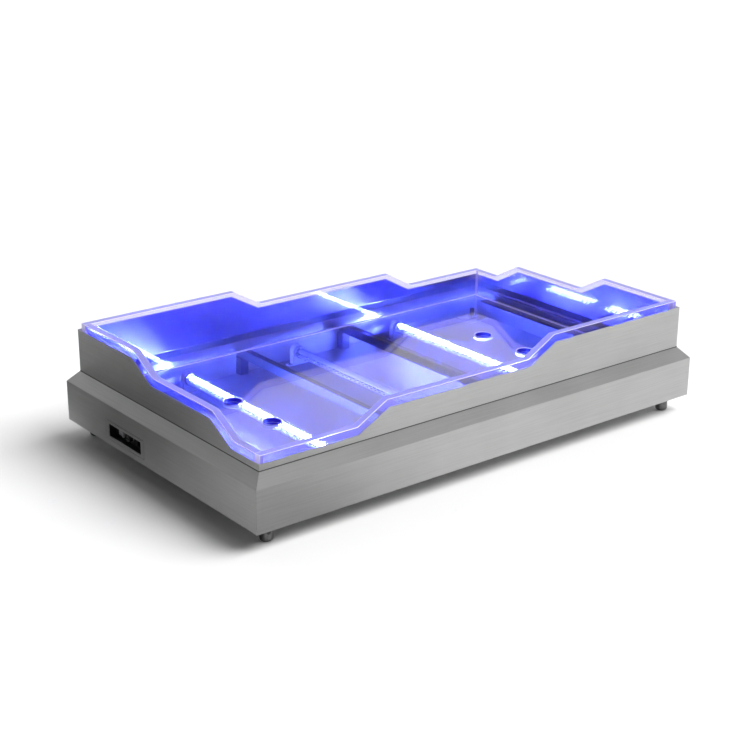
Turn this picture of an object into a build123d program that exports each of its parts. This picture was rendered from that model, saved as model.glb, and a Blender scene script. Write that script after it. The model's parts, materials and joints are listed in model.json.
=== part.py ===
from build123d import *
from math import cos, radians, sin, sqrt
import os

# Lit ice display basin: a folded sheet-steel housing on four levelling feet, a
# thick clear basin that lifts out of it, and lamp tubes under the clear floor.
# Millimetres. X runs along the front, Y to the back, Z up from the table, and the
# origin is on the table under the middle of the housing.

# Housing. The tubes lie across it, so their length sets its depth.
length = 1100.0
lamp_length = 590.0
lamp_margin = 40.0
depth = lamp_length + 2 * lamp_margin
plinth_height = 84.0
ledge_rise = 23.0
ledge_inset = 21.0
sheet = 1.5
bend_radius = 2.5
flange_width = 60.0
mitre_gap = 0.4

# Stepped top edge, in heights above the plinth's bottom edge. Each side climbs from
# a low corner over two slants to a high corner, and runs are taken from the low corner.
low_edge = 120.0
edge_step = 37.0
slant_run = 67.0
front_low_run = 238.0
front_mid_run = 349.0
side_low_run = 106.0
side_mid_run = 202.0

# Bottom plate and levelling feet
plate_gap = 1.0
foot_height = 32.0
foot_diameter = 25.0
foot_round = 5.0
foot_chamfer = 1.0
foot_inset_x = 42.0
foot_inset_y = 33.0
stem_diameter = 10.0
stem_length = 30.0
stem_clearance = 0.5
thread_clearance = 0.05
foot_plate_side = 54.0
foot_plate_thick = 3.0
nut_across_flats = 17.0
nut_height = 8.0

# Clear basin
basin_gap = 4.0
basin_proud = 13.0
wall_thick = 15.0
floor_thick = 10.0
floor_under = 62.0
drain_diameter = 36.0
drain_pitch_x = 660.0
drain_pitch_y = 134.0

# Square-tube supports and end rails under the basin
beam_pitch = 275.0
beam_width = 15.0
beam_height = 20.0
post_side = 20.0
tube_wall = 1.5
rail_shelf = 60.0
rail_leg = 18.0
rail_sheet = 2.0
rail_end_gap = 75.0

# Lamp tubes and their holders
lamp_pitch = 281.0
lamp_shift = -6.0
lamp_height = 33.0
glass_diameter = 26.0
glass_wall = 1.2
cap_diameter = 27.6
cap_length = 8.0
cap_end = 3.0
cap_clearance = 0.05
pin_diameter = 2.4
pin_pitch = 12.7
pin_length = 7.0
pin_clearance = 0.3
board_width = 12.0
board_thick = 1.2
board_drop = 9.0
lamp_end_gap = 0.5
holder_thick = 14.0
holder_width = 30.0
holder_foot_width = 52.0
holder_foot_height = 3.0
holder_slot = 3.2
screw_diameter = 3.0
screw_head_diameter = 5.6
screw_head_height = 2.0
screw_clearance = 0.15
screw_edge = 6.0

# Inlet recess in the left end
inlet_inset_y = 225.5
inlet_height = 32.25
inlet_width = 119.0
inlet_tall = 25.5
bezel_border_y = 11.0
bezel_border_z = 6.0
bezel_seam = 0.5
pocket_depth = 14.0
pocket_sheet = 1.2
pocket_lip = 6.0
cutout_clearance = 0.3

# Rocker switch
switch_offset = 31.5
switch_flange_width = 30.0
switch_flange_tall = 22.0
switch_flange_thick = 2.0
switch_body_width = 27.0
switch_body_tall = 19.0
switch_body_deep = 20.0
rocker_width = 21.0
rocker_tall = 14.2
rocker_end_height = 4.2
rocker_middle_height = 2.6
rocker_belly = 5.0
rocker_tilt = 10.0
rocker_side_gap = 0.3
rocker_end_gap = 1.2
rocker_well = 9.0
pivot_sink = 1.0
trunnion_diameter = 3.0
trunnion_length = 1.2
trunnion_clearance = 0.05

# Fuse holder
fuse_offset = -2.5
fuse_flange_diameter = 16.0
fuse_flange_thick = 2.0
fuse_body_diameter = 12.0
fuse_body_length = 30.0
fuse_bore_diameter = 6.4
fuse_bore_depth = 27.0
fuse_diameter = 5.2
fuse_length = 20.0
fuse_cap_diameter = 14.0
fuse_cap_height = 8.0
fuse_cap_gap = 0.3
fuse_spigot_diameter = 5.8
fuse_slot_width = 1.6
fuse_slot_depth = 1.5

# Three-pin power inlet
socket_offset = -38.0
socket_flange_width = 31.0
socket_flange_tall = 24.0
socket_flange_thick = 2.5
socket_flange_round = 3.0
socket_body_width = 28.0
socket_body_tall = 20.0
socket_body_deep = 22.0
socket_well_width = 24.4
socket_well_tall = 16.8
socket_well_chamfer = 4.0
socket_well_depth = 16.0
socket_pin_tall = 4.0
socket_pin_thick = 2.0
socket_pin_length = 13.0
socket_pin_pitch = 14.0
socket_earth_offset = 4.0

# Lamp driver and wiring
driver_inset_x = 110.0
driver_inset_y = 225.0
driver_length = 150.0
driver_width = 46.0
driver_tall = 30.0
driver_round = 3.0
driver_tab_length = 14.0
driver_tab_width = 14.0
driver_tab_thick = 3.0
driver_tab_offset = 15.0
lead_diameter = 3.0
lead_bend = 12.0
lead_turn_in = 4.0
lead_spacing = 7.0
lead_offset = -5.0
lane_spacing = 4.5
lane_inset = 7.0
lead_lift = 0.3
wire_diameter = 2.4
wire_loop = 26.0
wire_spread = 5.0
feed_drop = 6.5
feed_spacing = 10.0
clip_length = 12.0
clip_offset = 92.0
clip_wall = 2.0
clip_gap = 0.3

# Places worked out from the sizes above
half_length = length / 2
half_depth = depth / 2
base = foot_height
high_edge = low_edge + 2 * edge_step
overall_height = base + high_edge + basin_proud
plate_top = base + 2 * sheet
basin_inset = ledge_inset + sheet + basin_gap
basin_half_length = half_length - basin_inset
basin_half_depth = half_depth - basin_inset
basin_bottom = base + floor_under
basin_floor_top = basin_bottom + floor_thick
lamp_z = base + lamp_height
lamp_places = {"left": lamp_shift - lamp_pitch, "middle": lamp_shift, "right": lamp_shift + lamp_pitch}
beam_places = {"left": -beam_pitch / 2, "right": beam_pitch / 2}
beam_half = half_depth - sheet
holder_face = lamp_length / 2 + lamp_end_gap
holder_screw_x = holder_foot_width / 2 - screw_edge
holder_screw_y = holder_face + holder_thick / 2
inlet_y = half_depth - inlet_inset_y
inlet_z = base + inlet_height
panel_face = -half_length
pocket_plate = panel_face + sheet + pocket_depth
driver_x = driver_inset_x - half_length
driver_y = driver_inset_y - half_depth
driver_tab_y = (driver_length + driver_tab_length) / 2
foot_places = [
    (side_x * (half_length - foot_inset_x), side_y * (half_depth - foot_inset_y))
    for side_x in (-1, 1)
    for side_y in (-1, 1)
]
holder_screw_places = [
    (lamp_x + side_x * holder_screw_x, side_y * holder_screw_y)
    for lamp_x in lamp_places.values()
    for side_x in (-1, 1)
    for side_y in (-1, 1)
]
driver_tab_x = driver_x + driver_tab_offset
driver_screw_places = [(driver_tab_x, driver_y + side_y * driver_tab_y) for side_y in (-1, 1)]

os.makedirs("parts", exist_ok=True)


def keep(piece, label):
    """Name one finished piece and write it."""
    piece.label = label
    export_step(piece, f"parts/{label}.step")


def cut_stem_holes():
    """Clearance holes where the four foot stems pass up through the bottom."""
    with Locations(*[(x, y, base) for x, y in foot_places]):
        Cylinder(stem_diameter / 2 + stem_clearance, 2 * foot_height, mode=Mode.SUBTRACT)


def under_stepped_edge(span, low_run, mid_run, climb, rise):
    """The upright area under one side's stepped top edge, which climbs towards +X or -X."""
    first_slant = low_run - span / 2
    second_slant = first_slant + slant_run + mid_run
    low, middle, high = (base + low_edge + step * edge_step + rise for step in range(3))
    outline = [
        (-span / 2, 0),
        (-span / 2, low),
        (first_slant, low),
        (first_slant + slant_run, middle),
        (second_slant, middle),
        (second_slant + slant_run, high),
        (span / 2, high),
        (span / 2, 0),
    ]
    with BuildSketch(Plane.XZ) as area:
        with BuildLine():
            Polyline(*[(climb * x, z) for x, z in outline], close=True)
        make_face()
    return area.sketch


def housing_panel(span, reach, low_run, mid_run, climb):
    """One side of the housing, folded from one sheet and mitred at both ends.

    It stands on the front, with its plinth face at Y = -reach.
    """
    mitre_start = span / 2 - mitre_gap / sqrt(2)
    with BuildPart() as panel:
        with BuildSketch(Plane.YZ):
            with BuildLine():
                FilletPolyline(
                    (flange_width - reach, base),
                    (-reach, base),
                    (-reach, base + plinth_height),
                    (ledge_inset - reach, base + plinth_height + ledge_rise),
                    (ledge_inset - reach, base + high_edge),
                    radius=bend_radius,
                )
                offset(amount=sheet, side=Side.RIGHT)
            make_face()
        extrude(amount=span / 2, both=True)
        kept_area = under_stepped_edge(span, low_run, mid_run, climb, 0)
        extrude(kept_area, amount=length, both=True, mode=Mode.INTERSECT)
        with BuildSketch(Plane.XY):
            with BuildLine():
                Polyline((-mitre_start, -reach), (mitre_start, -reach), (0, mitre_start - reach), close=True)
            make_face()
        extrude(amount=overall_height, mode=Mode.INTERSECT)
    return panel.part


def basin_wall(span, reach, housing_span, low_run, mid_run, climb):
    """One clear wall standing on the basin floor, with its outer face at Y = -reach."""
    with BuildPart() as wall:
        with BuildSketch(Plane.XY.offset(basin_floor_top)):
            with Locations((0, wall_thick / 2 - reach)):
                Rectangle(span, wall_thick)
        extrude(amount=overall_height - basin_floor_top)
        kept_area = under_stepped_edge(housing_span, low_run, mid_run, climb, basin_proud)
        extrude(kept_area, amount=length, both=True, mode=Mode.INTERSECT)
    return wall.part


def run_lead(points, radii, diameter):
    """A lead along straight runs joined by arcs, with one radius for each corner."""
    with BuildPart() as lead:
        with BuildLine() as route:
            FilletPolyline(*points, radius=radii)
        with BuildSketch(Plane(origin=route.line @ 0, z_dir=route.line % 0)):
            Circle(diameter / 2)
        sweep()
    return lead.part


# Housing panels: the back and right sides are the front and left ones turned half round
with BuildPart() as front_panel:
    add(housing_panel(length, half_depth, front_low_run, front_mid_run, 1))
    cut_stem_holes()
keep(front_panel.part, "front_panel")

with BuildPart() as back_panel:
    add(housing_panel(length, half_depth, front_low_run, front_mid_run, 1).rotate(Axis.Z, 180))
    cut_stem_holes()
keep(back_panel.part, "back_panel")

with BuildPart() as left_panel:
    add(housing_panel(depth, half_length, side_low_run, side_mid_run, -1).rotate(Axis.Z, -90))
    cut_stem_holes()
    with BuildSketch(Plane.YZ.offset(panel_face)):
        with Locations((inlet_y, inlet_z)):
            Rectangle(
                inlet_width + 2 * (bezel_border_y + bezel_seam),
                inlet_tall + 2 * (bezel_border_z + bezel_seam),
            )
    extrude(amount=2 * sheet, both=True, mode=Mode.SUBTRACT)
keep(left_panel.part, "left_panel")

with BuildPart() as right_panel:
    add(housing_panel(depth, half_length, side_low_run, side_mid_run, -1).rotate(Axis.Z, 90))
    cut_stem_holes()
keep(right_panel.part, "right_panel")

# Bottom plate, lying on the panels' flanges
plate_inset = sheet + bend_radius + plate_gap
with BuildPart() as bottom_plate:
    with BuildSketch(Plane.XY.offset(base + sheet)):
        Rectangle(length - 2 * plate_inset, depth - 2 * plate_inset)
        with Locations(*holder_screw_places, *driver_screw_places):
            Circle(screw_diameter / 2 + screw_clearance, mode=Mode.SUBTRACT)
    extrude(amount=sheet)
    cut_stem_holes()
keep(bottom_plate.part, "bottom_plate")

# Stiffening plates and nuts welded over the bottom plate where the feet screw in
with BuildPart() as foot_plates:
    with BuildSketch(Plane.XY.offset(plate_top)):
        with Locations(*foot_places):
            Rectangle(foot_plate_side, foot_plate_side)
    extrude(amount=foot_plate_thick)
    cut_stem_holes()
keep(foot_plates.part, "foot_plates")

with BuildPart() as foot_nuts:
    with BuildSketch(Plane.XY.offset(plate_top + foot_plate_thick)):
        with Locations(*foot_places):
            RegularPolygon(nut_across_flats / 2, 6, major_radius=False)
            Circle(stem_diameter / 2 + thread_clearance, mode=Mode.SUBTRACT)
    extrude(amount=nut_height)
keep(foot_nuts.part, "foot_nuts")

# Levelling feet: a turned bullet with a stem that screws up into the nut
for foot_name, foot_place in zip(("front_left", "back_left", "front_right", "back_right"), foot_places):
    with BuildPart() as foot:
        with BuildSketch(Plane.XY):
            with Locations(foot_place):
                Circle(foot_diameter / 2)
        extrude(amount=foot_height)
        fillet(foot.edges().group_by(Axis.Z)[0], radius=foot_round)
        chamfer(foot.edges().group_by(Axis.Z)[-1], length=foot_chamfer)
        with BuildSketch(Plane.XY.offset(foot_height)):
            with Locations(foot_place):
                Circle(stem_diameter / 2)
        extrude(amount=stem_length)
    keep(foot.part, f"foot_{foot_name}")

# End rails: shelf angles on the end panels that carry the basin's two ends
for rail_name, rail_side in (("left", -1), ("right", 1)):
    rail_wall = half_length - sheet
    with BuildPart() as rail:
        with BuildSketch(Plane.XZ):
            with BuildLine():
                Polyline(
                    (rail_side * (rail_wall - rail_shelf), basin_bottom - rail_sheet),
                    (rail_side * rail_wall, basin_bottom - rail_sheet),
                    (rail_side * rail_wall, basin_bottom - rail_sheet + rail_leg),
                    (rail_side * (rail_wall - rail_sheet), basin_bottom - rail_sheet + rail_leg),
                    (rail_side * (rail_wall - rail_sheet), basin_bottom),
                    (rail_side * (rail_wall - rail_shelf), basin_bottom),
                    close=True,
                )
            make_face()
        extrude(amount=half_depth - rail_end_gap, both=True)
    keep(rail.part, f"end_rail_{rail_name}")

# Support beams across the depth, each on two posts from the bottom plate
for beam_name, beam_x in beam_places.items():
    with BuildPart() as beam:
        with BuildSketch(Plane.XZ):
            with Locations((beam_x, basin_bottom - beam_height / 2)):
                Rectangle(beam_width, beam_height)
                Rectangle(beam_width - 2 * tube_wall, beam_height - 2 * tube_wall, mode=Mode.SUBTRACT)
        extrude(amount=beam_half, both=True)
    keep(beam.part, f"support_beam_{beam_name}")

    with BuildPart() as posts:
        with BuildSketch(Plane.XY.offset(plate_top)):
            with Locations(*[(beam_x, side_y * (beam_half - post_side / 2)) for side_y in (-1, 1)]):
                Rectangle(post_side, post_side)
                Rectangle(post_side - 2 * tube_wall, post_side - 2 * tube_wall, mode=Mode.SUBTRACT)
        extrude(amount=basin_bottom - beam_height - plate_top)
    keep(posts.part, f"support_posts_{beam_name}")

# Clear basin: a drilled floor plate with four stepped walls bonded on top of it
with BuildPart() as basin_floor:
    with BuildSketch(Plane.XY.offset(basin_bottom)):
        Rectangle(2 * basin_half_length, 2 * basin_half_depth)
        with GridLocations(drain_pitch_x, drain_pitch_y, 2, 2):
            Circle(drain_diameter / 2, mode=Mode.SUBTRACT)
    extrude(amount=floor_thick)
keep(basin_floor.part, "basin_floor")

front_wall = basin_wall(2 * basin_half_length, basin_half_depth, length, front_low_run, front_mid_run, 1)
keep(front_wall, "basin_front_wall")
keep(front_wall.rotate(Axis.Z, 180), "basin_back_wall")

end_wall_span = 2 * (basin_half_depth - wall_thick)
end_wall = basin_wall(end_wall_span, basin_half_length, depth, side_low_run, side_mid_run, -1)
keep(end_wall.rotate(Axis.Z, -90), "basin_left_wall")
keep(end_wall.rotate(Axis.Z, 90), "basin_right_wall")

# Lamp tubes: a clear tube round a strip board, closed by two pinned caps
for lamp_name, lamp_x in lamp_places.items():
    inside_length = lamp_length - 2 * cap_end
    with BuildPart() as glass:
        with BuildSketch(Plane.XZ):
            with Locations((lamp_x, lamp_z)):
                Circle(glass_diameter / 2)
                Circle(glass_diameter / 2 - glass_wall, mode=Mode.SUBTRACT)
        extrude(amount=inside_length / 2, both=True)
    keep(glass.part, f"lamp_tube_{lamp_name}")

    with BuildPart() as board:
        with Locations((lamp_x, 0, lamp_z - board_drop)):
            Box(board_width, inside_length, board_thick)
    keep(board.part, f"lamp_board_{lamp_name}")

    with BuildPart() as caps:
        with BuildSketch(Plane.XZ.offset(lamp_length / 2)):
            with Locations((lamp_x, lamp_z)):
                Circle(cap_diameter / 2)
        extrude(amount=-cap_length)
        with BuildSketch(Plane.XZ.offset(lamp_length / 2 - cap_end)):
            with Locations((lamp_x, lamp_z)):
                Circle(glass_diameter / 2 + cap_clearance)
        extrude(amount=-cap_length, mode=Mode.SUBTRACT)
        with BuildSketch(Plane.XZ.offset(lamp_length / 2)):
            with Locations((lamp_x - pin_pitch / 2, lamp_z), (lamp_x + pin_pitch / 2, lamp_z)):
                Circle(pin_diameter / 2)
        extrude(amount=pin_length)
        mirror(about=Plane.XZ)
    keep(caps.part, f"lamp_caps_{lamp_name}")

    with BuildPart() as holder:
        with BuildSketch(Plane.XZ.offset(holder_face)):
            with Locations((lamp_x, lamp_z)):
                Circle(holder_width / 2)
            with Locations((lamp_x, plate_top)):
                Rectangle(holder_width, lamp_z - plate_top, align=(Align.CENTER, Align.MIN))
                Rectangle(holder_foot_width, holder_foot_height, align=(Align.CENTER, Align.MIN))
        extrude(amount=holder_thick)
        with BuildSketch(Plane.XZ.offset(holder_face)):
            with Locations((lamp_x, lamp_z)):
                Circle((pin_pitch + pin_diameter) / 2 + pin_clearance)
                Rectangle(holder_slot, holder_width, align=(Align.CENTER, Align.MIN))
        extrude(amount=pin_length + lamp_end_gap, mode=Mode.SUBTRACT)
        foot_holes = [(lamp_x + side_x * holder_screw_x, -holder_screw_y, plate_top) for side_x in (-1, 1)]
        with Locations(*foot_holes):
            Cylinder(screw_diameter / 2 + screw_clearance, 4 * holder_foot_height, mode=Mode.SUBTRACT)
    keep(holder.part, f"lampholder_{lamp_name}_front")
    keep(mirror(holder.part, about=Plane.XZ), f"lampholder_{lamp_name}_back")


def pan_screws(places, seat):
    """Pan-head screws down through a flange at height seat and the bottom plate."""
    with BuildPart() as screws:
        with BuildSketch(Plane.XY.offset(seat)):
            with Locations(*places):
                Circle(screw_head_diameter / 2)
        extrude(amount=screw_head_height)
        with BuildSketch(Plane.XY.offset(seat)):
            with Locations(*places):
                Circle(screw_diameter / 2)
        extrude(amount=base + sheet - seat)
    return screws.part


keep(pan_screws(holder_screw_places, plate_top + holder_foot_height), "lampholder_screws")
keep(pan_screws(driver_screw_places, plate_top + driver_tab_thick), "driver_screws")

# Inlet recess: a frame let into the left panel, and a folded pocket behind it
with BuildPart() as inlet_bezel:
    with BuildSketch(Plane.YZ.offset(panel_face)):
        with Locations((inlet_y, inlet_z)):
            Rectangle(inlet_width + 2 * bezel_border_y, inlet_tall + 2 * bezel_border_z)
            Rectangle(inlet_width, inlet_tall, mode=Mode.SUBTRACT)
    extrude(amount=sheet)
keep(inlet_bezel.part, "inlet_bezel")

switch_y = inlet_y + switch_offset
fuse_y = inlet_y + fuse_offset
socket_y = inlet_y + socket_offset
with BuildPart() as inlet_pocket:
    with BuildSketch(Plane.YZ.offset(panel_face + sheet)):
        with Locations((inlet_y, inlet_z)):
            Rectangle(
                inlet_width + 2 * (bezel_border_y + bezel_seam + pocket_lip),
                inlet_tall + 2 * (bezel_border_z + bezel_seam + pocket_lip),
            )
    extrude(amount=pocket_sheet)
    with BuildSketch(Plane.YZ.offset(panel_face + sheet)):
        with Locations((inlet_y, inlet_z)):
            Rectangle(inlet_width + 2 * pocket_sheet, inlet_tall + 2 * pocket_sheet)
    extrude(amount=pocket_depth + pocket_sheet)
    with BuildSketch(Plane.YZ.offset(panel_face + sheet)):
        with Locations((inlet_y, inlet_z)):
            Rectangle(inlet_width, inlet_tall)
    extrude(amount=pocket_depth, mode=Mode.SUBTRACT)
    with BuildSketch(Plane.YZ.offset(pocket_plate)):
        with Locations((switch_y, inlet_z)):
            Rectangle(switch_body_width + 2 * cutout_clearance, switch_body_tall + 2 * cutout_clearance)
        with Locations((fuse_y, inlet_z)):
            Circle(fuse_body_diameter / 2 + cutout_clearance)
        with Locations((socket_y, inlet_z)):
            Rectangle(socket_body_width + 2 * cutout_clearance, socket_body_tall + 2 * cutout_clearance)
    extrude(amount=pocket_sheet, mode=Mode.SUBTRACT)
keep(inlet_pocket.part, "inlet_pocket")

# Rocker switch: a flanged body with a well, and a rocker on two trunnions in it
rocker_pivot = pocket_plate - pivot_sink
well_width = rocker_width + 2 * rocker_end_gap
well_tall = rocker_tall + 2 * rocker_side_gap
with BuildPart() as switch_body:
    with BuildSketch(Plane.YZ.offset(pocket_plate)):
        with Locations((switch_y, inlet_z)):
            Rectangle(switch_flange_width, switch_flange_tall)
    extrude(amount=-switch_flange_thick)
    with BuildSketch(Plane.YZ.offset(pocket_plate)):
        with Locations((switch_y, inlet_z)):
            Rectangle(switch_body_width, switch_body_tall)
    extrude(amount=switch_body_deep)
    with BuildSketch(Plane.YZ.offset(pocket_plate - switch_flange_thick)):
        with Locations((switch_y, inlet_z)):
            Rectangle(well_width, well_tall)
    extrude(amount=rocker_well + switch_flange_thick, mode=Mode.SUBTRACT)
    with Locations((rocker_pivot, switch_y, inlet_z)):
        Cylinder(
            trunnion_diameter / 2 + trunnion_clearance,
            rocker_tall + 2 * (trunnion_length + trunnion_clearance),
            mode=Mode.SUBTRACT,
        )
keep(switch_body.part, "switch_body")

tilt = radians(rocker_tilt)
rocker_plane = Plane((rocker_pivot, switch_y, inlet_z), x_dir=(sin(tilt), cos(tilt), 0), z_dir=(0, 0, 1))
with BuildPart() as switch_rocker:
    with BuildSketch(rocker_plane):
        with BuildLine():
            Polyline(
                (-rocker_width / 2, 0),
                (-rocker_width / 2, rocker_end_height),
                (0, rocker_middle_height),
                (rocker_width / 2, rocker_end_height),
                (rocker_width / 2, 0),
            )
            ThreePointArc((rocker_width / 2, 0), (0, -rocker_belly), (-rocker_width / 2, 0))
        make_face()
    extrude(amount=rocker_tall / 2, both=True)
    with Locations((rocker_pivot, switch_y, inlet_z)):
        Cylinder(trunnion_diameter / 2, rocker_tall + 2 * trunnion_length)
keep(switch_rocker.part, "switch_rocker")

# Fuse holder: a round body through the pocket, the fuse in its bore and a turning cap
fuse_mouth = pocket_plate - fuse_flange_thick
fuse_seat = fuse_mouth + fuse_bore_depth
with BuildPart() as fuse_holder:
    with BuildSketch(Plane.YZ.offset(fuse_mouth)):
        with Locations((fuse_y, inlet_z)):
            Circle(fuse_flange_diameter / 2)
    extrude(amount=fuse_flange_thick)
    with BuildSketch(Plane.YZ.offset(fuse_mouth)):
        with Locations((fuse_y, inlet_z)):
            Circle(fuse_body_diameter / 2)
    extrude(amount=fuse_body_length + fuse_flange_thick)
    with BuildSketch(Plane.YZ.offset(fuse_mouth)):
        with Locations((fuse_y, inlet_z)):
            Circle(fuse_bore_diameter / 2)
    extrude(amount=fuse_bore_depth, mode=Mode.SUBTRACT)
keep(fuse_holder.part, "fuse_holder")

with BuildPart() as fuse:
    with BuildSketch(Plane.YZ.offset(fuse_seat)):
        with Locations((fuse_y, inlet_z)):
            Circle(fuse_diameter / 2)
    extrude(amount=-fuse_length)
keep(fuse.part, "fuse")

with BuildPart() as fuse_cap:
    with BuildSketch(Plane.YZ.offset(fuse_mouth - fuse_cap_gap)):
        with Locations((fuse_y, inlet_z)):
            Circle(fuse_cap_diameter / 2)
    extrude(amount=-fuse_cap_height)
    with BuildSketch(Plane.YZ.offset(fuse_mouth - fuse_cap_gap - fuse_cap_height)):
        with Locations((fuse_y, inlet_z)):
            Rectangle(fuse_cap_diameter, fuse_slot_width)
    extrude(amount=fuse_slot_depth, mode=Mode.SUBTRACT)
    with BuildSketch(Plane.YZ.offset(fuse_mouth - fuse_cap_gap)):
        with Locations((fuse_y, inlet_z)):
            Circle(fuse_spigot_diameter / 2)
    extrude(amount=fuse_bore_depth - fuse_length)
keep(fuse_cap.part, "fuse_cap")

# Power inlet: a flanged body with a chamfered well and three flat pins on its end wall
socket_mouth = pocket_plate - socket_flange_thick
socket_seat = socket_mouth + socket_well_depth
with BuildPart() as power_inlet:
    with BuildSketch(Plane.YZ.offset(socket_mouth)):
        with Locations((socket_y, inlet_z)):
            RectangleRounded(socket_flange_width, socket_flange_tall, socket_flange_round)
    extrude(amount=socket_flange_thick)
    with BuildSketch(Plane.YZ.offset(pocket_plate)):
        with Locations((socket_y, inlet_z)):
            Rectangle(socket_body_width, socket_body_tall)
    extrude(amount=socket_body_deep)
    with BuildSketch(Plane.YZ.offset(socket_mouth)) as well:
        with Locations((socket_y, inlet_z)):
            Rectangle(socket_well_width, socket_well_tall)
        chamfer(well.vertices().group_by(Axis.Y)[-1], length=socket_well_chamfer)
    extrude(amount=socket_well_depth, mode=Mode.SUBTRACT)
keep(power_inlet.part, "power_inlet")

with BuildPart() as inlet_pins:
    with BuildSketch(Plane.YZ.offset(socket_seat)):
        with Locations(
            (socket_y - socket_pin_pitch / 2, inlet_z),
            (socket_y + socket_pin_pitch / 2, inlet_z),
            (socket_y, inlet_z + socket_earth_offset),
        ):
            Rectangle(socket_pin_thick, socket_pin_tall)
    extrude(amount=-socket_pin_length)
keep(inlet_pins.part, "inlet_pins")

# Lamp driver: a closed box with a screwed tab at each end
with BuildPart() as led_driver:
    with BuildSketch(Plane.XY.offset(plate_top)):
        with Locations((driver_x, driver_y)):
            Rectangle(driver_width, driver_length)
    extrude(amount=driver_tall)
    fillet(led_driver.edges().filter_by(Axis.Z), radius=driver_round)
    fillet(led_driver.edges().group_by(Axis.Z)[-1], radius=driver_round / 2)
    with BuildSketch(Plane.XY.offset(plate_top)):
        with Locations((driver_tab_x, driver_y)):
            Rectangle(driver_tab_width, driver_length + 2 * driver_tab_length)
        with Locations(*driver_screw_places):
            Circle(screw_diameter / 2 + screw_clearance, mode=Mode.SUBTRACT)
    extrude(amount=driver_tab_thick)
keep(led_driver.part, "led_driver")

# Lamp leads: out of the driver, under the tubes along the front, into each front holder
lead_z = plate_top + lead_lift + lead_diameter / 2
driver_front = driver_y - driver_length / 2
driver_back = driver_y + driver_length / 2
for lane, (lamp_name, lamp_x) in enumerate(lamp_places.items()):
    lead_x = driver_x + lead_offset + (lane - 1) * lead_spacing
    lane_y = lane_inset + lane * lane_spacing - holder_face
    lead_points = [
        (lead_x, driver_front, lead_z),
        (lead_x, lane_y, lead_z),
        (lamp_x, lane_y, lead_z),
        (lamp_x, -holder_face, lead_z),
    ]
    keep(run_lead(lead_points, [lead_bend, lead_turn_in], lead_diameter), f"lamp_lead_{lamp_name}")

# Clips: saddles on the bottom plate that hold the lamp leads in their lanes
lanes_low = lane_inset - holder_face
lanes_high = lanes_low + (len(lamp_places) - 1) * lane_spacing
tunnel_width = lanes_high - lanes_low + lead_diameter + 2 * clip_gap
tunnel_height = lead_z + lead_diameter / 2 + clip_gap - plate_top
clip_y = (lanes_low + lanes_high) / 2
clip_places = [(lamp_x - clip_offset, clip_y) for lamp_x in lamp_places.values()]
with BuildPart() as cable_clips:
    with BuildSketch(Plane.XY.offset(plate_top)):
        with Locations(*clip_places):
            Rectangle(clip_length, tunnel_width + 2 * clip_wall)
    extrude(amount=tunnel_height + clip_wall)
    with BuildSketch(Plane.XY.offset(plate_top)):
        with Locations(*clip_places):
            Rectangle(clip_length, tunnel_width)
    extrude(amount=tunnel_height, mode=Mode.SUBTRACT)
keep(cable_clips.part, "cable_clips")

# Mains wires behind the pocket: inlet to fuse, fuse to switch, and two feeds to the driver
socket_back = pocket_plate + socket_body_deep
fuse_back = pocket_plate + fuse_body_length
switch_back = pocket_plate + switch_body_deep
loop_x = fuse_back + wire_loop
upper_z = inlet_z + wire_spread / 2
lower_z = inlet_z - wire_spread / 2
feed_z = inlet_z - feed_drop
fuse_wire_points = [
    (socket_back, socket_y, upper_z),
    (loop_x, socket_y, upper_z),
    (loop_x, fuse_y, upper_z),
    (fuse_back, fuse_y, upper_z),
]
keep(run_lead(fuse_wire_points, [lead_bend, lead_bend], wire_diameter), "fuse_wire")

switch_wire_points = [
    (fuse_back, fuse_y, lower_z),
    (loop_x, fuse_y, lower_z),
    (loop_x, switch_y, lower_z),
    (switch_back, switch_y, lower_z),
]
keep(run_lead(switch_wire_points, [lead_bend, lead_bend], wire_diameter), "switch_wire")

switched_feed_points = [
    (switch_back, switch_y, feed_z),
    (driver_x + feed_spacing / 2, switch_y, feed_z),
    (driver_x + feed_spacing / 2, driver_back, feed_z),
]
keep(run_lead(switched_feed_points, [lead_bend], lead_diameter), "switched_feed")

neutral_feed_points = [
    (socket_back, socket_y, feed_z),
    (driver_x - feed_spacing / 2, socket_y, feed_z),
    (driver_x - feed_spacing / 2, driver_back, feed_z),
]
keep(run_lead(neutral_feed_points, [lead_bend], lead_diameter), "neutral_feed")
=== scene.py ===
import json
from math import atan2, pi, radians, tan

import bmesh
import bpy
from mathutils import Matrix, Vector


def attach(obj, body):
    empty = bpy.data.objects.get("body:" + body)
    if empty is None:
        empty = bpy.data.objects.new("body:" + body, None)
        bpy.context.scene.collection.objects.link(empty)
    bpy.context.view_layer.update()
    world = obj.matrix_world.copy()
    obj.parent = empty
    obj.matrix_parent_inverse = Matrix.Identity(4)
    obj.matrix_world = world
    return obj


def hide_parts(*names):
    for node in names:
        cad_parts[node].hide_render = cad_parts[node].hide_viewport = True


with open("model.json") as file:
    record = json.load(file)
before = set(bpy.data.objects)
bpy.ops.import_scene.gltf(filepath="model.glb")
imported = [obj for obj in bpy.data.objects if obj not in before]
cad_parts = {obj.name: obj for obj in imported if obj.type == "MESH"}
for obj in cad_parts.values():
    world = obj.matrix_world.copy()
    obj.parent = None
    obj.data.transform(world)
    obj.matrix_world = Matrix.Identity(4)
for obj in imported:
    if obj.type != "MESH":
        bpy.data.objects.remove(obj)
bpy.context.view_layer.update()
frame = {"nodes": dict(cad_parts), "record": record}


# Bottom plate: a bare sheet of cold-rolled stainless steel that lies on the panels' flanges.
# The foot plates are squares of thicker bar welded over it, with a plated nut on each.

nodes = frame["nodes"]
mm = 0.001


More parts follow.
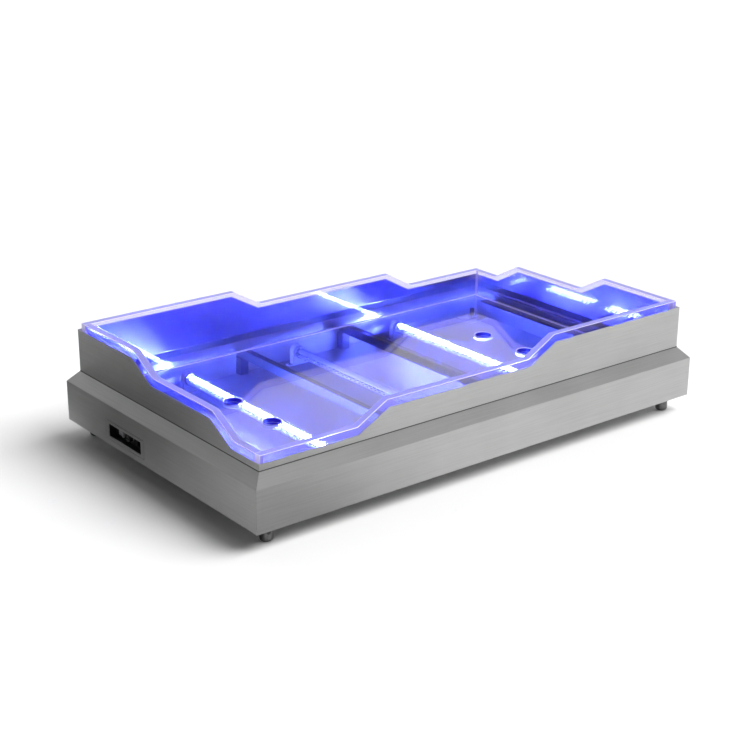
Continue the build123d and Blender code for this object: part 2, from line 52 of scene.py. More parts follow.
def linear(colour):
    """An sRGB hex colour as linear red, green, blue and alpha."""
    parts = [int(colour[i:i + 2], 16) / 255 for i in (1, 3, 5)]
    return [p / 12.92 if p <= 0.04045 else ((p + 0.055) / 1.055) ** 2.4 for p in parts] + [1.0]


def add_node(tree, kind, inputs=None, **settings):
    """A shader node with its settings, and its inputs set to values or linked to sockets."""
    made = tree.nodes.new(kind)
    for name, value in settings.items():
        setattr(made, name, value)
    for name, value in (inputs or {}).items():
        if isinstance(value, bpy.types.NodeSocket):
            tree.links.new(value, made.inputs[name])
        else:
            made.inputs[name].default_value = value
    return made


def start_material(name):
    """A new material with an empty node tree, and the coordinates of the piece that it is on."""
    material = bpy.data.materials.new(name)
    material.use_nodes = True
    material.node_tree.nodes.clear()
    place = add_node(material.node_tree, "ShaderNodeTexCoord").outputs["Object"]
    return material, material.node_tree, place


def finish_material(tree, pattern, colours, roughness, inputs=None):
    """The shader: a pattern from 0 to 1 shifts its colour and its roughness between two values."""
    # a colour mix is reached by number, because its sockets share their names with other sockets
    factor, first, second, mixed = 0, 6, 7, 2
    shade = add_node(tree, "ShaderNodeMix",
                     {factor: pattern, first: linear(colours[0]), second: linear(colours[1])},
                     data_type="RGBA").outputs[mixed]
    gloss = add_node(tree, "ShaderNodeMapRange",
                     {"Value": pattern, "To Min": roughness[0], "To Max": roughness[1]}).outputs["Result"]
    shader = add_node(tree, "ShaderNodeBsdfPrincipled",
                      {"Base Color": shade, "Roughness": gloss, **(inputs or {})})
    add_node(tree, "ShaderNodeOutputMaterial", {"Surface": shader.outputs["BSDF"]})


def dress(material, *names):
    """Give CAD nodes a finish."""
    for name in names:
        mesh = nodes[name].data
        mesh.materials.clear()
        mesh.materials.append(material)


# rolled dull at the mill: a grey sheet that mirrors only as a soft smear, in slow clouds
mill_steel, tree, place = start_material("cold_rolled_stainless")
clouds = add_node(tree, "ShaderNodeTexNoise", {"Vector": place, "Scale": 1 / (60 * mm)}).outputs["Fac"]
finish_material(tree, clouds, ("#b0b2b6", "#c4c6ca"), (0.48, 0.58), {"Metallic": 1.0})
dress(mill_steel, "bottom_plate", "foot_plates")

# zinc electroplate: brighter than the sheet, a little blotched
zinc_plate, tree, place = start_material("zinc_plated_steel")
blotches = add_node(tree, "ShaderNodeTexNoise", {"Vector": place, "Scale": 1 / (3 * mm)}).outputs["Fac"]
finish_material(tree, blotches, ("#a0a3a8", "#d2d5d9"), (0.18, 0.36), {"Metallic": 1.0})
dress(zinc_plate, "foot_nuts")


# Housing panels: each side is one stainless sheet, sheared to a stepped edge, folded up from a
# bottom flange through plinth, ledge and upper wall, and mitred into its neighbours. Its outer
# face is brushed along its length, and its inner face is left as bright as it was annealed.

length, depth, base = 1100 * mm, 670 * mm, 32 * mm
plinth_height, ledge_rise, ledge_inset = 84 * mm, 23 * mm, 21 * mm
sheet, bend_radius, flange_width = 1.5 * mm, 2.5 * mm, 60 * mm
low_edge, edge_step, slant_run = 120 * mm, 37 * mm, 67 * mm
front_low_run, front_mid_run = 238 * mm, 349 * mm
side_low_run, side_mid_run = 106 * mm, 202 * mm
high_edge = low_edge + 2 * edge_step
sheared_round = 0.4 * mm
nothing = 0.01 * mm  # nearer than this is the same place
sharp = radians(40)

body_of = {node: body for body, held in frame["record"]["behaviour"]["bodies"].items() for node in held}


def deselect_all():
    """Leave nothing selected, in object mode."""
    if bpy.context.object and bpy.context.object.mode == "EDIT":
        bpy.ops.object.mode_set(mode="OBJECT")
    bpy.ops.object.select_all(action="DESELECT")


def activate(piece):
    """Select one piece alone and make it the active one."""
    deselect_all()
    piece.select_set(True)
    bpy.context.view_layer.objects.active = piece


def pick(kind, test):
    """In edit mode, select just the verts, edges or faces whose middle passes the test."""
    bpy.ops.mesh.select_all(action="DESELECT")
    bpy.ops.mesh.select_mode(type={"verts": "VERT", "edges": "EDGE", "faces": "FACE"}[kind])
    mesh = bmesh.from_edit_mesh(bpy.context.edit_object.data)
    for element in getattr(mesh, kind):
        if kind == "verts":
            middle = element.co
        elif kind == "edges":
            middle = (element.verts[0].co + element.verts[1].co) / 2
        else:
            middle = element.calc_center_median()
        if test(middle):
            element.select_set(True)
    mesh.select_flush_mode()
    bmesh.update_edit_mesh(bpy.context.edit_object.data)


def apply_modifier(piece, kind, **settings):
    """Add one modifier to a piece, set it and apply it."""
    activate(piece)
    modifier = piece.modifiers.new(kind, kind)
    for name, value in settings.items():
        setattr(modifier, name, value)
    bpy.ops.object.modifier_apply(modifier=modifier.name)


def settle(piece):
    """Put a piece's place, turn and size into its mesh."""
    activate(piece)
    bpy.ops.object.transform_apply(location=True, rotation=True, scale=True)


def shade_smooth(piece, angle):
    """Shade smoothly over every edge that turns by less than the angle, with flat faces kept flat."""
    activate(piece)
    bpy.ops.object.shade_smooth_by_angle(angle=angle)
    apply_modifier(piece, "WEIGHTED_NORMAL", keep_sharp=True, weight=100)


def ease_edges(piece, width, segments=2):
    """Round every sharp edge by a little, and shade the rounds smoothly."""
    apply_modifier(piece, "BEVEL", width=width, segments=segments, limit_method="ANGLE", angle_limit=sharp)
    shade_smooth(piece, sharp)


def cut_away(piece, cutter):
    """Cut one shape out of a piece, and remove the shape."""
    apply_modifier(piece, "BOOLEAN", operation="DIFFERENCE", object=cutter, solver="EXACT")
    bpy.data.objects.remove(cutter)


def stand_in(piece, node):
    """Let a finished piece stand for a CAD node: it rides with the node's body, and the node is hidden."""
    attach(piece, body_of[node])
    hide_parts(node)


def cut_steps(top, half_long, span, low_run, mid_run, climb):
    """In edit mode, cut a side's top edge down to two steps, which climb towards +X or towards -X."""
    first = low_run - span / 2
    second = first + slant_run + mid_run
    turns = [(first, 0), (first + slant_run, 1), (second, 1), (second + slant_run, 2)]
    columns = [(climb * along, steps_up) for along, steps_up in turns]
    for along, _ in columns:
        bpy.ops.mesh.select_all(action="SELECT")
        bpy.ops.mesh.bisect(plane_co=(along, 0, 0), plane_no=(1, 0, 0))
    for along, steps_up in [(-climb * half_long, 0), *columns]:
        pick("verts", lambda m: abs(m.x - along) < nothing and m.z > top - nothing)
        bpy.ops.transform.translate(value=(0, 0, (steps_up - 2) * edge_step))


def lay_grain(piece):
    """Unwrap a piece straight on from each side, so that U runs along every upright face."""
    activate(piece)
    bpy.ops.object.mode_set(mode="EDIT")
    bpy.ops.mesh.select_all(action="SELECT")
    bpy.ops.uv.cube_project(cube_size=1.0)
    bpy.ops.object.mode_set(mode="OBJECT")


def fold_panel(name, outside, span, reach, low_run, mid_run, climb, turn):
    """One housing side as long as span, folded at the front at reach from the middle, and then turned."""
    deselect_all()
    bpy.ops.mesh.primitive_plane_add(size=1, enter_editmode=True)
    panel = bpy.context.object
    panel.name = name
    for finish in (outside, bright_steel, fold_painted_shade):
        panel.data.materials.append(finish)
    bpy.ops.transform.resize(value=(span, flange_width, 1))
    bpy.ops.transform.translate(value=(0, flange_width / 2 - reach, base))
    folds = [(-reach, base), (-reach, base + plinth_height),
             (ledge_inset - reach, base + plinth_height + ledge_rise),
             (ledge_inset - reach, base + high_edge)]
    for (y, z), (next_y, next_z) in zip(folds, folds[1:]):
        pick("edges", lambda m: abs(m.y - y) < nothing and abs(m.z - z) < nothing)
        bpy.ops.mesh.extrude_region_move(TRANSFORM_OT_translate={"value": (0, next_y - y, next_z - z)})
    ledge_turn = pi / 2 - atan2(ledge_rise, ledge_inset)
    for (y, z), fold in zip(folds, (pi / 2, ledge_turn, ledge_turn)):
        pick("edges", lambda m: abs(m.y - y) < nothing and abs(m.z - z) < nothing and abs(m.x) < nothing)
        bpy.ops.mesh.bevel(offset=bend_radius * tan(fold / 2), segments=5, affect="EDGES")
    bpy.ops.mesh.select_all(action="SELECT")
    bpy.ops.mesh.normals_make_consistent(inside=False)
    upright = max(bmesh.from_edit_mesh(panel.data).faces, key=lambda face: face.calc_center_median().z)
    if upright.normal.y > 0:
        bpy.ops.mesh.flip_normals()
    apply_modifier(panel, "SOLIDIFY", thickness=sheet, offset=-1, use_even_offset=True, material_offset=1)
    bpy.ops.object.mode_set(mode="EDIT")
    cut_steps(base + high_edge, span / 2, span, low_run, mid_run, climb)
    for side in (-1, 1):
        bpy.ops.mesh.select_all(action="SELECT")
        bpy.ops.mesh.bisect(plane_co=(side * span / 2, -reach, 0), plane_no=(side, 1, 0),
                            use_fill=True, clear_outer=True)
    bpy.ops.object.mode_set(mode="OBJECT")
    # faces along the inner fold get the painted fold shade
    inner_fold = base + plinth_height + ledge_rise
    for face in panel.data.polygons:
        if face.material_index == 0 and abs(face.center.z - inner_fold) < bend_radius / 2:
            face.material_index = 2
    panel.rotation_euler.z = turn
    settle(panel)
    return panel


# bright annealed: a hazy metal under a mirror skin, so lamps show sharp in a broad soft glow
bright_steel, tree, place = start_material("bright_annealed_stainless")
clouds = add_node(tree, "ShaderNodeTexNoise", {"Vector": place, "Scale": 1 / (40 * mm)}).outputs["Fac"]
finish_material(tree, clouds, ("#c4c6ca", "#d8dade"), (0.28, 0.36),
                {"Metallic": 0.8, "Coat Weight": 1.0, "Coat Roughness": 0.03, "Coat IOR": 1.9})

# the inner fold is drawn as a dull dark line: painted shade in the crease
fold_painted_shade, tree, place = start_material("fold_line_painted_shade")
fold_mottle = add_node(tree, "ShaderNodeTexNoise", {"Vector": place, "Scale": 1 / (5 * mm)}).outputs["Fac"]
finish_material(tree, fold_mottle, ("#4c4c4c", "#686868"), (0.4, 0.6), {"Metallic": 1.0})

# satin belt brushing: streaks a millimetre or two wide, drawn coarser than the real scratches so
# that they show, over a slow change of shade; the scratches smear reflections across themselves
brushed = {}
for direction, stretch in (("x", (0.015, 1, 1)), ("y", (1, 0.015, 1))):
    brushed[direction], tree, place = start_material("brushed_stainless_along_" + direction)
    along = add_node(tree, "ShaderNodeMapping", {"Vector": place, "Scale": stretch}).outputs["Vector"]
    streaks = add_node(tree, "ShaderNodeTexNoise",
                       {"Vector": along, "Scale": 1 / (1.6 * mm)}).outputs["Fac"]
    clouds = add_node(tree, "ShaderNodeTexNoise",
                      {"Vector": place, "Scale": 1 / (120 * mm)}).outputs["Fac"]
    blend = add_node(tree, "ShaderNodeMix", {"Factor": 0.45, "A": streaks, "B": clouds}).outputs["Result"]
    grain = add_node(tree, "ShaderNodeBump", {"Height": streaks, "Distance": 0.1 * mm, "Strength": 0.12})
    lay = add_node(tree, "ShaderNodeTangent", direction_type="UV_MAP", uv_map="UVMap")
    finish_material(tree, blend, ("#b8b8b8", "#e4e4e4"), (0.42, 0.54),
                    {"Metallic": 1.0, "Normal": grain.outputs["Normal"], "Tangent": lay.outputs["Tangent"],
                     "Anisotropic": 0.8, "Anisotropic Rotation": 0.25})

panels = {}
for side, turn in (("front", 0), ("back", pi)):
    panels[side] = fold_panel(side + "_side", brushed["x"], length, depth / 2,
                              front_low_run, front_mid_run, 1, turn)
for side, turn in (("left", -pi / 2), ("right", pi / 2)):
    panels[side] = fold_panel(side + "_end", brushed["y"], depth, length / 2,
                              side_low_run, side_mid_run, -1, turn)

# holes for the feet in the bottom flanges of the long sides, drilled well through the sheet
foot_inset_x, foot_inset_y, stem_hole = 42 * mm, 33 * mm, 5.5 * mm
foot_x, foot_y = length / 2 - foot_inset_x, depth / 2 - foot_inset_y
drill_depth = 20 * sheet
for side, side_y in (("front", -1), ("back", 1)):
    for side_x in (-1, 1):
        deselect_all()
        bpy.ops.mesh.primitive_cylinder_add(vertices=32, radius=stem_hole, depth=drill_depth,
                                            location=(side_x * foot_x, side_y * foot_y, base))
        cut_away(panels[side], bpy.context.object)

# the window for the inlet frame, punched in the left end with a hairline left all round
inlet_from_back, inlet_rise = 225.5 * mm, 32.25 * mm
inlet_width, inlet_tall = 119 * mm, 25.5 * mm
bezel_border_y, bezel_border_z, bezel_seam = 11 * mm, 6 * mm, 0.9 * mm
inlet_y, inlet_z, punch_depth = depth / 2 - inlet_from_back, base + inlet_rise, 10 * sheet
deselect_all()
bpy.ops.mesh.primitive_cube_add(size=1, location=(-length / 2, inlet_y, inlet_z))
window = bpy.context.object
window.scale = (punch_depth, inlet_width + 2 * (bezel_border_y + bezel_seam),
                inlet_tall + 2 * (bezel_border_z + bezel_seam))
cut_away(panels["left"], window)

for side, panel in panels.items():
    ease_edges(panel, sheared_round)
    lay_grain(panel)
    stand_in(panel, side + "_panel")


# Levelling feet: bars turned to a bullet on a lathe and polished, each with a stem that screws
# up into the nut inside the housing.

foot_radius, foot_round, foot_chamfer, turned_round = 12.5 * mm, 5 * mm, 1 * mm, 0.3 * mm
stem_radius, stem_length = 5 * mm, 30 * mm

# a polished turning: a dark mirror with a few softer patches
polished, tree, place = start_material("polished_plated_steel")
patches = add_node(tree, "ShaderNodeTexNoise", {"Vector": place, "Scale": 1 / (4 * mm)}).outputs["Fac"]
finish_material(tree, patches, ("#4a4a4a", "#7c7c7c"), (0.04, 0.16), {"Metallic": 1.0})

deselect_all()
bpy.ops.mesh.primitive_cylinder_add(vertices=64, radius=foot_radius, depth=base, location=(0, 0, base / 2))
bullet = bpy.context.object
settle(bullet)
bpy.ops.object.mode_set(mode="EDIT")
pick("edges", lambda m: m.z < nothing)
bpy.ops.mesh.bevel(offset=foot_round, segments=8, affect="EDGES")
pick("edges", lambda m: m.z > base - nothing)
bpy.ops.mesh.bevel(offset=foot_chamfer, segments=1, affect="EDGES")
pick("faces", lambda m: m.z > base - nothing)
bpy.ops.mesh.inset(thickness=foot_radius - foot_chamfer - stem_radius)
bpy.ops.mesh.extrude_region_move(TRANSFORM_OT_translate={"value": (0, 0, stem_length)})
bpy.ops.object.mode_set(mode="OBJECT")
ease_edges(bullet, turned_round)
bullet.data.materials.append(polished)
for corner, side_x, side_y in (("front_left", -1, -1), ("back_left", -1, 1),
                               ("front_right", 1, -1), ("back_right", 1, 1)):
    foot = bpy.data.objects.new("bullet_foot_" + corner, bullet.data.copy())
    bpy.context.scene.collection.objects.link(foot)
    foot.location = (side_x * foot_x, side_y * foot_y, 0)
    settle(foot)
    stand_in(foot, "foot_" + corner)
bpy.data.objects.remove(bullet)


# Inlet recess: a steel frame let flush into the left end, round a folded pocket coated in black
# nylon. In the pocket sit a rocker switch, a fuse holder with its cap and a three-pin inlet, all
# moulded in nylon: black, with the rocker and the fuse holder drawn mid grey as a painted highlight.

bezel_round = 0.25 * mm


def eased_copy(node, width, material, segments=2):
    """A CAD node's own shape with its edges rounded as its maker leaves them."""
    piece = bpy.data.objects.new(node + "_eased", nodes[node].data.copy())
    bpy.context.scene.collection.objects.link(piece)
    activate(piece)
    bpy.ops.object.mode_set(mode="EDIT")
    bpy.ops.mesh.select_all(action="SELECT")
    bpy.ops.mesh.remove_doubles(threshold=nothing / 2)
    bpy.ops.mesh.dissolve_limited(angle_limit=radians(0.5))
    bpy.ops.object.mode_set(mode="OBJECT")
    ease_edges(piece, width, segments)
    piece.data.materials.clear()
    piece.data.materials.append(material)
    stand_in(piece, node)
    return piece


# black nylon out of a spark-eroded mould: deep, a little satin, with a fine grain
black_nylon, tree, place = start_material("moulded_black_nylon")
flow = add_node(tree, "ShaderNodeTexNoise", {"Vector": place, "Scale": 1 / (6 * mm)}).outputs["Fac"]
spark = add_node(tree, "ShaderNodeTexNoise", {"Vector": place, "Scale": 1 / (0.5 * mm)}).outputs["Fac"]
grain = add_node(tree, "ShaderNodeBump", {"Height": spark, "Distance": 0.05 * mm, "Strength": 0.3})
finish_material(tree, flow, ("#0b0b0c", "#1c1c1e"), (0.28, 0.44), {"Normal": grain.outputs["Normal"]})
for node, width in (("switch_body", 0.4 * mm), ("fuse_cap", 0.6 * mm), ("power_inlet", 0.5 * mm)):
    eased_copy(node, width, black_nylon)

# the same nylon drawn mid grey on the rocker and the fuse holder: a painted highlight, so that they stand
# out from the pocket
nylon_painted_highlight, tree, place = start_material("grey_nylon_painted_highlight")
flow = add_node(tree, "ShaderNodeTexNoise", {"Vector": place, "Scale": 1 / (6 * mm)}).outputs["Fac"]
finish_material(tree, flow, ("#77777a", "#98989b"), (0.24, 0.4))
for node, width in (("switch_rocker", 0.5 * mm), ("fuse_holder", 0.4 * mm)):
    eased_copy(node, width, nylon_painted_highlight)
dress(black_nylon, "inlet_pocket")
lay_grain(eased_copy("inlet_bezel", bezel_round, brushed["y"]))

# nickel-washed brass pins, warm under the wash
nickel_brass, tree, place = start_material("nickel_washed_brass")
wash = add_node(tree, "ShaderNodeTexNoise", {"Vector": place, "Scale": 1 / (2 * mm)}).outputs["Fac"]
finish_material(tree, wash, ("#b0a484", "#d6d0be"), (0.14, 0.3), {"Metallic": 1.0})
dress(nickel_brass, "inlet_pins")

# a glass fuse, with a faint smoky band
fuse_glass, tree, place = start_material("fuse_glass")
smoke = add_node(tree, "ShaderNodeTexNoise", {"Vector": place, "Scale": 1 / (3 * mm)}).outputs["Fac"]
finish_material(tree, smoke, ("#ccd4d3", "#f2f6f5"), (0.02, 0.06),
                {"Transmission Weight": 0.9, "IOR": 1.5})
dress(fuse_glass, "fuse")


# Basin supports: two square tubes across the depth on short posts, and a shelf angle along each
# end panel, cut from stainless stock and spot-welded in.

sawn_round = 0.7 * mm

# drawn and left as it came: darker than the rolled sheet, with streaks along the draw
drawn_steel, tree, place = start_material("drawn_stainless_tube")
along = add_node(tree, "ShaderNodeMapping", {"Vector": place, "Scale": (1, 0.05, 1)}).outputs["Vector"]
streaks = add_node(tree, "ShaderNodeTexNoise", {"Vector": along, "Scale": 1 / (3 * mm)}).outputs["Fac"]
finish_material(tree, streaks, ("#6c6e72", "#888a8e"), (0.4, 0.5), {"Metallic": 1.0})
for node in ("support_beam_left", "support_beam_right", "support_posts_left", "support_posts_right"):
    eased_copy(node, sawn_round, drawn_steel, 3)
for node in ("end_rail_left", "end_rail_right"):
    eased_copy(node, sawn_round, mill_steel, 3)


# Lampholders: white mouldings with a twist slot, each screwed to the bottom plate by two
# pan-headed screws. The saddle clips over the leads are of the same plastic.

moulded_round, screw_round = 0.7 * mm, 0.5 * mm

# glass-filled polycarbonate: dull, with a faint flow pattern
white_moulding, tree, place = start_material("moulded_white_polycarbonate")
flow = add_node(tree, "ShaderNodeTexNoise", {"Vector": place, "Scale": 1 / (12 * mm)}).outputs["Fac"]
spark = add_node(tree, "ShaderNodeTexNoise", {"Vector": place, "Scale": 1 / (0.7 * mm)}).outputs["Fac"]
grain = add_node(tree, "ShaderNodeBump", {"Height": spark, "Distance": 0.05 * mm, "Strength": 0.25})
finish_material(tree, flow, ("#d4d4d6", "#ececec"), (0.4, 0.56), {"Normal": grain.outputs["Normal"]})
for name in ("left", "middle", "right"):
    for end in ("front", "back"):
        eased_copy(f"lampholder_{name}_{end}", moulded_round, white_moulding)
dress(white_moulding, "cable_clips")
eased_copy("lampholder_screws", screw_round, zinc_plate, 3)


# Lamp tubes: clear extruded polycarbonate round a strip board with a row of light-emitting
# diodes, and a lens strip over them in the top of the tube. Drawn aluminium caps with two pins
# close the tube. The outer two tubes are lit.

lamp_pitch, lamp_shift, lamp_z = 281 * mm, -6 * mm, base + 33 * mm
tube_radius, tube_wall, tube_length = 13 * mm, 1.2 * mm, 584 * mm
board_thick, board_drop, board_round, cap_round = 1.2 * mm, 9 * mm, 0.2 * mm, 0.5 * mm
lens_radius, lens_rise, lens_length, lens_round = 8.5 * mm, 1 * mm, 572 * mm, 3 * mm
diode_long, diode_wide, diode_tall, diode_round = 6 * mm, 8 * mm, 3 * mm, 0.9 * mm
diode_pitch, diode_count = 14 * mm, 39
board_top = lamp_z - board_drop + board_thick / 2
first_diode_y = -(diode_count - 1) * diode_pitch / 2

# clear polycarbonate: almost only its highlights show, with faint lines from the die
clear_tube, tree, place = start_material("clear_extruded_polycarbonate")
along = add_node(tree, "ShaderNodeMapping", {"Vector": place, "Scale": (1, 0.02, 1)}).outputs["Vector"]
lines = add_node(tree, "ShaderNodeTexNoise", {"Vector": along, "Scale": 1 / (2 * mm)}).outputs["Fac"]
finish_material(tree, lines, ("#d8def0", "#f6f8ff"), (0.04, 0.16), {"Alpha": 0.05, "IOR": 1.58})

# white solder mask, with slightly darker tracks from diode to diode
white_board, tree, place = start_material("white_circuit_board")
wave_scale = pi / (10 * diode_pitch)  # a wave texture of scale 1 repeats every pi / 10
tracks = add_node(tree, "ShaderNodeTexWave", {"Vector": place, "Scale": wave_scale, "Distortion": 1.0},
                  bands_direction="Y").outputs["Fac"]
finish_material(tree, tracks, ("#d3d6da", "#eceef1"), (0.4, 0.5))

# water-clear epoxy: the lens is brightest over each lit chip, far brighter than all round it, so the
# camera sees white there and blue on what it lights; from the side the chips themselves are dimmer
blue_white = (0.11, 0.17, 1.0, 1.0)
power_between_chips, power_over_chip = 20.0, 1500.0
lit_lens, tree, place = start_material("lit_lens_epoxy")
flecks = add_node(tree, "ShaderNodeTexNoise", {"Vector": place, "Scale": 1 / (3 * mm)}).outputs["Fac"]
chips = add_node(tree, "ShaderNodeTexWave", {"Vector": place, "Scale": wave_scale, "Phase Offset": pi},
                 bands_direction="Y").outputs["Fac"]
power = add_node(tree, "ShaderNodeMapRange",
                 {"Value": chips, "From Min": 0.35, "From Max": 0.75,
                  "To Min": power_between_chips, "To Max": power_over_chip}).outputs["Result"]
finish_material(tree, flecks, ("#e4e9ff", "#ffffff"), (0.1, 0.2),
                {"Emission Color": blue_white, "Emission Strength": power})
epoxy = {}
for name, colours, inputs in (
        ("lit_diode", ("#e4e9ff", "#ffffff"), {"Emission Color": blue_white, "Emission Strength": 4.0}),
        ("lit_lens_edge", ("#8c94c8", "#b0b8e8"), {"Emission Color": blue_white, "Emission Strength": 0.8}),
        ("unlit_diode", ("#c8cede", "#ecf0fa"), {"Coat Weight": 0.6})):
    epoxy[name], tree, place = start_material(name + "_epoxy")
    flecks = add_node(tree, "ShaderNodeTexNoise", {"Vector": place, "Scale": 1 / (3 * mm)}).outputs["Fac"]
    finish_material(tree, flecks, colours, (0.1, 0.2), inputs)
lit_finishes = (lit_lens, epoxy["lit_lens_edge"], epoxy["lit_diode"])
unlit_finishes = (epoxy["unlit_diode"],) * 3

# satin aluminium, drawn over a mandrel
drawn_aluminium, tree, place = start_material("drawn_aluminium")
around = add_node(tree, "ShaderNodeMapping", {"Vector": place, "Scale": (1, 12, 1)}).outputs["Vector"]
rings = add_node(tree, "ShaderNodeTexNoise", {"Vector": around, "Scale": 1 / (6 * mm)}).outputs["Fac"]
finish_material(tree, rings, ("#b0b2b7", "#dcdee2"), (0.2, 0.36), {"Metallic": 1.0})

for name, lamp_x, finishes in (("left", lamp_shift - lamp_pitch, lit_finishes),
                               ("middle", lamp_shift, unlit_finishes),
                               ("right", lamp_shift + lamp_pitch, lit_finishes)):
    top_finish, edge_finish, chip_finish = finishes
    deselect_all()
    bpy.ops.mesh.primitive_cylinder_add(vertices=48, radius=tube_radius, depth=tube_length,
                                        end_fill_type="NOTHING", location=(lamp_x, 0, lamp_z),
                                        rotation=(pi / 2, 0, 0))
    tube = bpy.context.object
    tube.name = "clear_tube_" + name
    settle(tube)
    apply_modifier(tube, "SOLIDIFY", thickness=tube_wall, offset=-1)
    bpy.ops.object.shade_smooth_by_angle(angle=sharp)
    tube.data.materials.append(clear_tube)
    stand_in(tube, "lamp_tube_" + name)

    eased_copy("lamp_board_" + name, board_round, white_board)
    eased_copy("lamp_caps_" + name, cap_round, drawn_aluminium, 3)

    deselect_all()
    bpy.ops.mesh.primitive_cylinder_add(vertices=40, radius=lens_radius, depth=lens_length,
                                        location=(lamp_x, 0, lamp_z), rotation=(pi / 2, 0, 0))
    lens = bpy.context.object
    lens.name = "lens_strip_" + name
    settle(lens)
    bpy.ops.object.mode_set(mode="EDIT")
    bpy.ops.mesh.select_all(action="SELECT")
    bpy.ops.mesh.bisect(plane_co=(0, 0, lamp_z + lens_rise), plane_no=(0, 0, -1),
                        use_fill=True, clear_outer=True)
    bpy.ops.object.mode_set(mode="OBJECT")
    ease_edges(lens, lens_round, 4)
    lens.data.materials.append(top_finish)
    lens.data.materials.append(edge_finish)
    # the top and the ends shine, and the flanks and the underside are dim
    for face in lens.data.polygons:
        face.material_index = 0 if face.normal.z > 0.5 or abs(face.normal.y) > 0.6 else 1

    deselect_all()
    bpy.ops.mesh.primitive_cube_add(size=1, location=(lamp_x, first_diode_y, board_top + diode_tall / 2))
    diodes = bpy.context.object
    diodes.name = "diodes_" + name
    diodes.scale = (diode_wide, diode_long, diode_tall)
    settle(diodes)
    bpy.ops.object.mode_set(mode="EDIT")
    pick("edges", lambda m: m.z > board_top + diode_tall - nothing)
    bpy.ops.mesh.bevel(offset=diode_round, segments=2, affect="EDGES")
    bpy.ops.object.mode_set(mode="OBJECT")
    apply_modifier(diodes, "ARRAY", count=diode_count, use_relative_offset=False, use_constant_offset=True,
                   constant_offset_displace=(0, diode_pitch, 0))
    bpy.ops.object.shade_smooth_by_angle(angle=sharp)
    diodes.data.materials.append(chip_finish)
    for light in (lens, diodes):
        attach(light, "lamp_" + name)


# Lamp driver and wiring: a sealed pale grey case screwed to the bottom plate, soft white leads
# from it to the front lampholders, and the mains wires behind the inlet.

# ABS with a fine spark grain
grey_case, tree, place = start_material("moulded_pale_grey_abs")
flow = add_node(tree, "ShaderNodeTexNoise", {"Vector": place, "Scale": 1 / (20 * mm)}).outputs["Fac"]
spark = add_node(tree, "ShaderNodeTexNoise", {"Vector": place, "Scale": 1 / (0.8 * mm)}).outputs["Fac"]
grain = add_node(tree, "ShaderNodeBump", {"Height": spark, "Distance": 0.06 * mm, "Strength": 0.3})
finish_material(tree, flow, ("#babcbf", "#d0d2d5"), (0.44, 0.56), {"Normal": grain.outputs["Normal"]})
dress(grey_case, "led_driver")
dress(zinc_plate, "driver_screws")

# soft PVC sheath: white, slightly waxy
soft_sheath, tree, place = start_material("soft_white_pvc")
flow = add_node(tree, "ShaderNodeTexNoise", {"Vector": place, "Scale": 1 / (25 * mm)}).outputs["Fac"]
finish_material(tree, flow, ("#d0d0d1", "#eaeaea"), (0.34, 0.46))
dress(soft_sheath, "lamp_lead_left", "lamp_lead_middle", "lamp_lead_right",
      "switched_feed", "neutral_feed", "fuse_wire", "switch_wire")


# Clear basin: a floor plate of cast acrylic with four drain holes, and four walls of thicker sheet
# sawn to the housing's steps, scraped along their free edges and cemented on all round.

basin_gap, floor_rise = 4 * mm, 62 * mm
floor_thick, wall_thick, basin_proud = 10 * mm, 15 * mm, 13 * mm
rest_gap, glue_gap, scrape_width = 0.2 * mm, 0.1 * mm, 1.2 * mm
basin_half_x = length / 2 - ledge_inset - sheet - basin_gap
basin_half_y = depth / 2 - ledge_inset - sheet - basin_gap
floor_bottom = base + floor_rise + rest_gap
floor_top = base + floor_rise + floor_thick
wall_bottom = floor_top + glue_gap
wall_top = base + high_edge + basin_proud
drain_radius, drain_pitch_x, drain_pitch_y = 18 * mm, 660 * mm, 134 * mm
bore_depth = 4 * floor_thick
sheet_sharp = radians(35)
acrylic_ior = 1.49
# a faint violet glow painted onto the scraped and cemented edges
painted_edge_glow = {"Emission Color": (0.55, 0.5, 1.0, 1.0), "Emission Strength": 0.3}

# cast acrylic: clear and polished, with a faint violet cast that deepens where sheets overlap
acrylic, tree, place = start_material("cast_clear_acrylic")
haze = add_node(tree, "ShaderNodeTexNoise", {"Vector": place, "Scale": 1 / (90 * mm)}).outputs["Fac"]
finish_material(tree, haze, ("#dcd8ff", "#e6e2ff"), (0.0, 0.02),
                {"Transmission Weight": 1.0, "IOR": acrylic_ior})

# scraped chamfers: they let out the light that runs along inside the sheet, so they draw pale lines; a
# faint violet glow is painted on them as well
scraped, tree, place = start_material("scraped_acrylic_edge")
scrapes = add_node(tree, "ShaderNodeTexNoise", {"Vector": place, "Scale": 1 / (4 * mm)}).outputs["Fac"]
finish_material(tree, scrapes, ("#d8d8f8", "#f4f4ff"), (0.3, 0.5),
                {"Transmission Weight": 0.5, "IOR": acrylic_ior, **painted_edge_glow})

# sawn rims, flame-polished: half clear over a milky trace of the saw; its violet tint and blue glow are
# painted light from the lamps inside
rim_painted_glow, tree, place = start_material("acrylic_rim_painted_glow")
saw_marks = add_node(tree, "ShaderNodeTexNoise", {"Vector": place, "Scale": 1 / (3 * mm)}).outputs["Fac"]
finish_material(tree, saw_marks, ("#5c58a0", "#7c78c0"), (0.25, 0.4),
                {"Transmission Weight": 0.5, "IOR": acrylic_ior,
                 "Emission Color": (0.4, 0.4, 1.0, 1.0), "Emission Strength": 0.3})

# cemented joints: a thin milky film between two sheets, which shows as a pale line edge on, with the same
# painted glow
cemented, tree, place = start_material("cemented_acrylic_joint")
film = add_node(tree, "ShaderNodeTexNoise", {"Vector": place, "Scale": 1 / (8 * mm)}).outputs["Fac"]
finish_material(tree, film, ("#dcdaff", "#f4f2ff"), (0.2, 0.4),
                {"Transmission Weight": 0.3, "IOR": acrylic_ior, **painted_edge_glow})
